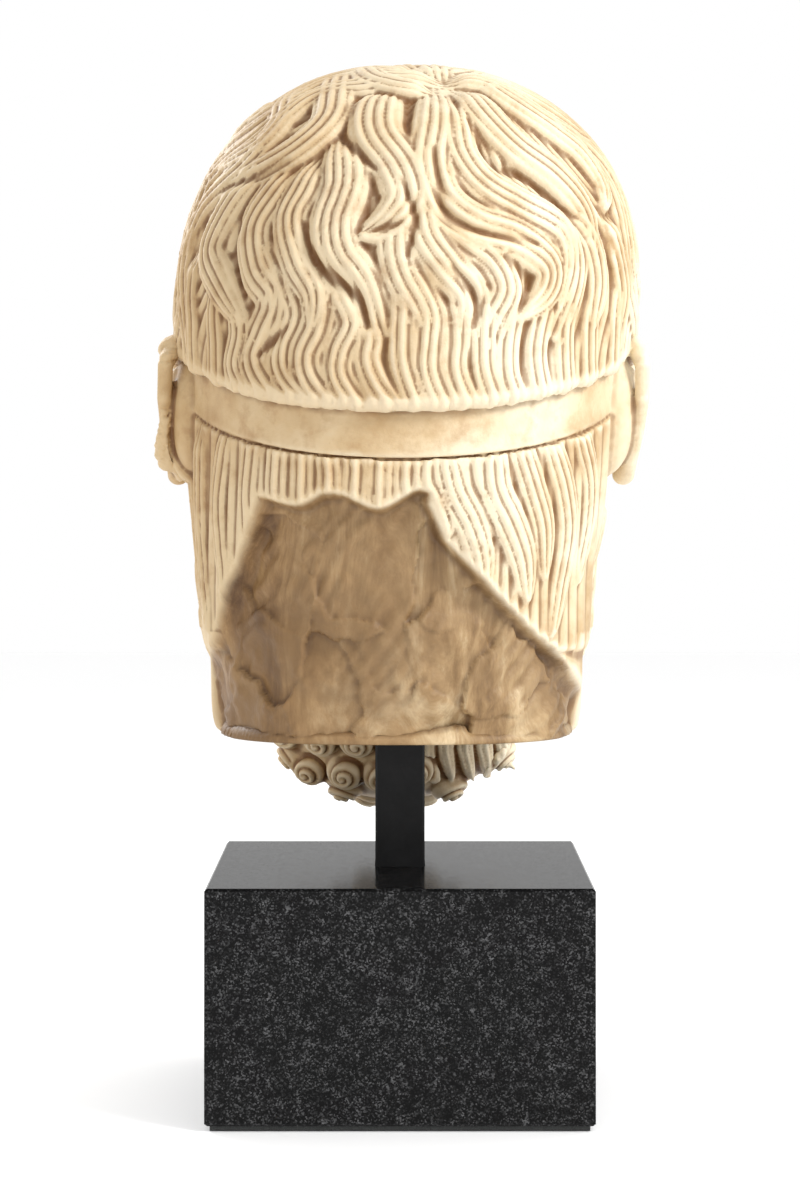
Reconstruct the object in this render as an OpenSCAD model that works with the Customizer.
// Antique bearded marble head with a hair band, pinned on a square steel post in a granite block.
// Units are millimetres. +Z is up, the face looks along -Y, and the origin is the middle of the
// felt's underside, below the post.

/* [Base] */
// Width of the granite block, left to right
base_w = 150; // [135:1:180]
// Depth of the granite block, front to back
base_d = 150; // [135:1:180]
// Height of the granite block
block_h = 91; // [80:1:110]
// Thickness of the felt under the block
felt_t = 2; // [1:0.5:4]

/* [Post] */
// Side of the square steel bar
post_side = 20; // [18:1:25]
// Height of bar that shows between the block and the washer
post_show = 53; // [45:1:70]
// Thickness of the washer that the stone sits on
washer_t = 1.5; // [1:0.5:3]

/* [Pin] */
// Diameter of the steel pin that the head sits on
pin_d = 12; // [10:1:14]
// Length of the pin inside the head
pin_reach = 60; // [40:1:70]
// Gap between the pin and its sleeve, on the radius
pin_gap = 0.05; // [0.02:0.01:0.09]

/* [Head] */
// Height of the head from the beard's tip to the crown
head_h = 307.5; // [290:0.5:325]
// Depth of the wavy relief of the hair
hair_relief = 1.6; // [0:0.1:2.5]
// Width of the hair band
band_w = 21.5; // [16:0.5:24]

/* [Hidden] */
$fn = 64;

// Levels from the table up
block_top = felt_t + block_h;
post_top = block_top + post_show;
seat_z = post_top + washer_t;

// Block: bevel, socket for the post's foot, and the hole and pocket for the fixing
bevel = 1;
socket_depth = 6;
socket_play = 0.2;
stud_hole_r = 6.75;
pocket_r = 21;
pocket_depth = 22;
felt_inset = 2;

// Fixing: M12 stud, nut and washers
stud_r = 6;
stud_in_post = 20;
stud_end_z = felt_t + 3;
nut_flats = 18;
nut_h = 10.8;
spring_h = 2.5;
spring_r = 10.5;
plate_h = 3;
plate_r = 18.5;
washer_play = 0.5;
pocket_top = felt_t + pocket_depth;

// Pin, its sleeve and the resin that holds the sleeve
pin_r = pin_d / 2;
pin_in_post = 18;
pin_tip = 1.5;
sleeve_wall = 1.95;
sleeve_r = pin_r + pin_gap + sleeve_wall;
sleeve_start = 0.5;
sleeve_len = pin_reach + 4;
plug_t = 2;
resin_t = 2;
resin_r = sleeve_r + resin_t;
resin_len = sleeve_start + sleeve_len + plug_t + resin_t;
bore_play = 0.05;

// Head: drawn standing on the neck's cut, with its beard below it, then resized to head_h
crown_h = 271.5;
head_x = -4;
around = 60;
band_mid = 147.9;
band_low = band_mid - band_w / 2;
band_high = band_mid + band_w / 2;
band_slope = 0.3;
front_rise = 0.0009;
lock_count = 17;
curl_r = 8.2;
curl_turn = 10.4;

// Cap of hair over the band: its middle's height, half width, front, back, rise and fullness
cap_mid = 167.5;
cap_half_w = 95;
cap_front = 110;
cap_back = 98;
cap_rise = crown_h - cap_mid;
cap_full = 2.3;
cap_rings = 15;

// Sections from the neck's cut to the band: height at mid depth, half width, front, back, squareness
HEAD = [
    [0,               67,   -34,  66, 2.6],
    [3.5,             72,   -37,  70, 2.6],
    [18,              74,   -40,  73, 2.5],
    [30,              74.5, -44,  74, 2.4],
    [38,              75,   -84,  75, 2.2],
    [50,              76,   -96,  77, 2.1],
    [64,              78,   -98,  79, 2.1],
    [82,              80,   -99,  82, 2.1],
    [98,              84,   -99,  85, 2.1],
    [110,             86.5, -96,  88, 2.1],
    [121,             88,   -96,  90, 2.1],
    [band_low - 0.5,  89,   -99,  91, 2.1],
    [band_low,        90.5, -103, 94, 2.1],
    [band_high,       91.5, -106, 95, 2.1]
];

// Beard sections, with heights from the neck's cut: it hangs below the cut
BEARD = [
    [-36, 8,  -88,  -66, 2],
    [-33, 20, -95,  -58, 2],
    [-28, 33, -101, -52, 2],
    [-21, 44, -106, -46, 2.1],
    [-11, 53, -111, -40, 2.2],
    [3,   60, -115, -34, 2.2],
    [20,  66, -117, -28, 2.2],
    [38,  71, -116, -20, 2.2],
    [54,  74, -112, -10, 2.1],
    [68,  74, -105, -4,  2.1],
    [80,  68, -99,  -2,  2.1],
    [90,  60, -94,  0,   2.1]
];

function smooth(u) = let (c = min(1, max(0, u))) c * c * (3 - 2 * c);

// Point of an outline at angle a: a superellipse with its own front and back reach
function arc(c, n) = sign(c) * pow(abs(c), 2 / n);
function depth_at(a, n, front, back) = let (s = arc(sin(a), n)) s * (s < 0 ? front : back);
function outline(a, half_w, front, back, n) = [arc(cos(a), n) * half_w, depth_at(a, n, front, back)];

// The band and what is near it slope up to the front, more steeply there, and the neck's cut stays level
function band_lift(y) = front_rise * pow(min(y, 0), 2) - band_slope * y;
function leaning(p, h) = [p[0], p[1], h + smooth(h / 90) * band_lift(p[1])];

// Relief of the locks, as a share of the outline's size
function cap_relief(u, a) =
    hair_relief / 95 * cos(lock_count * a + 260 * u + 55 * sin(900 * u)) * (1 - smooth(u * 1.6 - 0.6));
function nape_relief(h, a) = sin(a) > 0.1 && h > 30 && h < band_low - 1 ?
    0.5 * hair_relief / 95 * cos(24 * a) : 0;
function beard_relief(h, a) = h < 70 ? hair_relief / 70 * cos(16 * a + 4 * h) : 0;

function head_ring(row) = [for (i = [0:around - 1])
    let (a = 360 * i / around)
    leaning((1 + nape_relief(row[0], a)) * outline(a, row[1], -row[2], row[3], row[4]), row[0])];

// Ring of the cap at share u of the way from the band's upper edge to the crown
function cap_ring(u) = [for (i = [0:around - 1])
    let (
        a = 360 * i / around,
        edge = band_high + band_lift(depth_at(a, 2.1, cap_front, cap_back)) + 1,
        start = asin(arc((edge - cap_mid) / cap_rise, 4 / cap_full)),
        e = start + (90 - start) * u,
        flat = pow(cos(e), 2 / cap_full) * (1 + cap_relief(u, a)),
        p = flat * outline(a, cap_half_w, cap_front, cap_back, 2.1)
    )
    [p[0], p[1], cap_mid + cap_rise * arc(sin(e), cap_full)]];

// Solid skin over a stack of rings that all have the same number of points
module skin(rings, top) {
    n = len(rings[0]);
    last = len(rings) - 1;
    points = concat([for (ring = rings) each ring], [top]);
    floor_face = [[for (i = [0:n - 1]) i]];
    sides = [for (r = [0:last - 1], i = [0:n - 1])
        let (j = (i + 1) % n, a = r * n, b = a + n)
        each [[a + i, b + i, a + j], [b + i, b + j, a + j]]];
    cap = [for (i = [0:n - 1]) [last * n + i, len(points) - 1, last * n + (i + 1) % n]];
    polyhedron(points = points, faces = concat(floor_face, sides, cap), convexity = 6);
}

module skull_and_neck() {
    skin(
        concat([for (row = HEAD) head_ring(row)], [for (k = [0:cap_rings - 1]) cap_ring(k / cap_rings)]),
        [0, 0, crown_h]
    );
}

module beard() {
    count = 44;
    rings = [for (row = BEARD) [for (i = [0:count - 1])
        let (
            a = 360 * i / count,
            mid = (row[2] + row[3]) / 2,
            reach = (row[3] - row[2]) / 2,
            p = (1 + beard_relief(row[0], a)) * outline(a, row[1], reach, reach, row[4])
        )
        [p[0], p[1] + mid, row[0]]]];
    skin(rings, [0, -47, 92]);
}

// Egg shape: centre, half sizes, and turn about each axis
module egg(p, half, turn = [0, 0, 0], sides = 16) {
    translate(p) rotate(turn) scale(half) sphere(1, $fn = sides);
}

// Straight nose from the brow to the tip, with its wings
module nose() {
    hull() {
        translate([0, -100, 142]) sphere(6, $fn = 12);
        translate([0, -118, 93]) sphere(6.5, $fn = 12);
        translate([0, -102, 86]) sphere(7, $fn = 12);
    }
    for (side = [-1, 1]) egg([side * 10, -104, 89], [6, 9, 5.5]);
}

// Brow, eye with its lids, and cheek of one side
module eye() {
    egg([30, -93, 145], [28, 10, 5], [0, 10, 16]);
    egg([31, -84, 129], [13, 13, 13]);
    egg([31, -88, 134], [15, 11, 3.5], [0, 6, 10]);
    egg([31, -87, 123], [14, 10, 3], [0, -6, 10]);
    egg([37, -68, 100], [25, 25, 27]);
}

// Lip and moustache of one side
module mouth() {
    egg([8, -100, 67], [14, 7, 3.5], [0, 4, 8]);
    egg([8, -98, 60], [12, 7, 4], [0, -4, 8]);
    egg([17, -100, 73], [19, 9, 5], [0, 28, 14]);
    egg([33, -92, 55], [6, 9, 18], [0, -14, 0]);
}

// Ear: a leaning shell with a hollow, and its lobe
module ear() {
    translate([91, 8, 0]) rotate([-6, 0, 18]) difference() {
        union() {
            egg([0, 0, 128], [9, 16, 23]);
            egg([-2, -5, 104], [7, 9, 11]);
        }
        egg([9, -1, 128], [7, 10, 15]);
        egg([7, -3, 112], [5, 5, 8]);
    }
}

// Two rows of curls under the band, from temple to temple
module fringe() {
    for (row = [0:1], k = [-7:7]) {
        turn = curl_turn * (k + 0.5 * row);
        rise = band_low + band_lift(-96 * cos(turn)) - curl_r - 13 * row;
        egg([86 * sin(turn), -97 * cos(turn), rise], curl_r * [1, 1, 1], sides = 10);
    }
}

// Shallow scoops of the break across the nape
module break_scoops() {
    translate([-34, 178, 50]) sphere(104, $fn = 36);
    translate([38, 166, 52]) sphere(92, $fn = 36);
    translate([4, 140, 14]) sphere(70, $fn = 30);
}

module stone() {
    resize([0, 0, head_h], auto = true) translate([head_x, 0, 0]) {
        difference() {
            union() {
                skull_and_neck();
                beard();
            }
            break_scoops();
        }
        nose();
        fringe();
        for (side = [0, 1]) mirror([side, 0, 0]) {
            eye();
            mouth();
            ear();
        }
    }
}

module marble_head() {
    color("wheat") translate([0, 0, seat_z]) difference() {
        stone();
        translate([0, 0, -1]) cylinder(r = resin_r + bore_play, h = resin_len + bore_play + 1);
    }
}

// Cured resin that beds the sleeve in the drilled stone, closed over the plug
module resin_bed() {
    color("darkkhaki") translate([0, 0, seat_z]) difference() {
        translate([0, 0, sleeve_start]) cylinder(r = resin_r, h = resin_len - sleeve_start);
        cylinder(r = sleeve_r, h = sleeve_start + sleeve_len + plug_t);
    }
}

module pin_sleeve() {
    color("goldenrod") translate([0, 0, seat_z + sleeve_start]) difference() {
        cylinder(r = sleeve_r, h = sleeve_len);
        translate([0, 0, -1]) cylinder(r = pin_r + pin_gap, h = sleeve_len + 2);
    }
}

module sleeve_plug() {
    color("goldenrod") translate([0, 0, seat_z + sleeve_start + sleeve_len])
        cylinder(r = sleeve_r, h = plug_t);
}

// Round washer between the post's shoulder and the stone
module neck_washer() {
    color("ivory") translate([0, 0, post_top]) difference() {
        cylinder(d = post_side - 1, h = washer_t);
        translate([0, 0, -1]) cylinder(r = pin_r + 0.3, h = washer_t + 2);
    }
}

// Pin: plain above the post, reduced by the thread's play below, with a bevelled tip
module head_pin() {
    color("silver") translate([0, 0, post_top - pin_in_post]) rotate_extrude() polygon([
        [0, 0], [pin_r - pin_tip, 0], [pin_r, pin_tip],
        [pin_r, pin_in_post + washer_t + pin_reach - pin_tip],
        [pin_r - pin_tip, pin_in_post + washer_t + pin_reach],
        [0, pin_in_post + washer_t + pin_reach]
    ]);
}

// Square bar with eased edges and a tapped hole in each end
module post() {
    half = post_side / 2;
    ease_r = 0.8;
    inner = half - ease_r;
    color("black") difference() {
        translate([0, 0, block_top - socket_depth]) linear_extrude(socket_depth + post_show)
            polygon([
                [half, inner], [inner, half], [-inner, half], [-half, inner],
                [-half, -inner], [-inner, -half], [inner, -half], [half, -inner]
            ]);
        translate([0, 0, post_top - pin_in_post - 2]) cylinder(r = pin_r, h = pin_in_post + 3);
        translate([0, 0, block_top - socket_depth - 1]) cylinder(r = stud_r, h = stud_in_post + 3);
    }
}

module base_stud() {
    top = block_top - socket_depth + stud_in_post;
    color("silver") translate([0, 0, stud_end_z]) rotate_extrude() polygon([
        [0, 0], [stud_r - 1, 0], [stud_r, 1], [stud_r, top - stud_end_z - 1],
        [stud_r - 1, top - stud_end_z], [0, top - stud_end_z]
    ]);
}

module ring_washer(outer, inner, h) {
    difference() {
        cylinder(r = outer, h = h);
        translate([0, 0, -1]) cylinder(r = inner, h = h + 2);
    }
}

module plate_washer() {
    color("silver") translate([0, 0, pocket_top - plate_h])
        ring_washer(plate_r, stud_r + washer_play, plate_h);
}

// Split washer: a ring with a slanting cut
module spring_washer() {
    color("dimgray") translate([0, 0, pocket_top - plate_h - spring_h]) difference() {
        ring_washer(spring_r, stud_r + washer_play, spring_h);
        translate([0, 0, spring_h / 2]) rotate([35, 0, 0])
            translate([stud_r, -0.5, -spring_h * 2]) cube([spring_r, 1, spring_h * 4]);
    }
}

module hex_nut() {
    color("silver") translate([0, 0, pocket_top - plate_h - spring_h - nut_h]) difference() {
        cylinder(r = nut_flats / 2 / cos(30), h = nut_h, $fn = 6);
        translate([0, 0, -1]) cylinder(r = stud_r, h = nut_h + 2);
    }
}

// Granite block with bevelled edges, the post's socket, the stud's hole and the nut's pocket
module base_block() {
    socket = post_side + 2 * socket_play;
    color([0.2, 0.2, 0.21]) translate([0, 0, felt_t]) difference() {
        hull() {
            translate([-base_w / 2, -base_d / 2, bevel]) cube([base_w, base_d, block_h - 2 * bevel]);
            translate([bevel - base_w / 2, bevel - base_d / 2, 0])
                cube([base_w - 2 * bevel, base_d - 2 * bevel, block_h]);
        }
        translate([-socket / 2, -socket / 2, block_h - socket_depth])
            cube([socket, socket, socket_depth + 1]);
        translate([0, 0, -1]) cylinder(r = stud_hole_r, h = block_h);
        translate([0, 0, -1]) cylinder(r = pocket_r, h = pocket_depth + 1);
    }
}

module base_felt() {
    color("darkslategray") translate([felt_inset - base_w / 2, felt_inset - base_d / 2, 0])
        cube([base_w - 2 * felt_inset, base_d - 2 * felt_inset, felt_t]);
}

base_felt();
base_block();
hex_nut();
spring_washer();
plate_washer();
base_stud();
post();
head_pin();
neck_washer();
pin_sleeve();
sleeve_plug();
resin_bed();
marble_head();
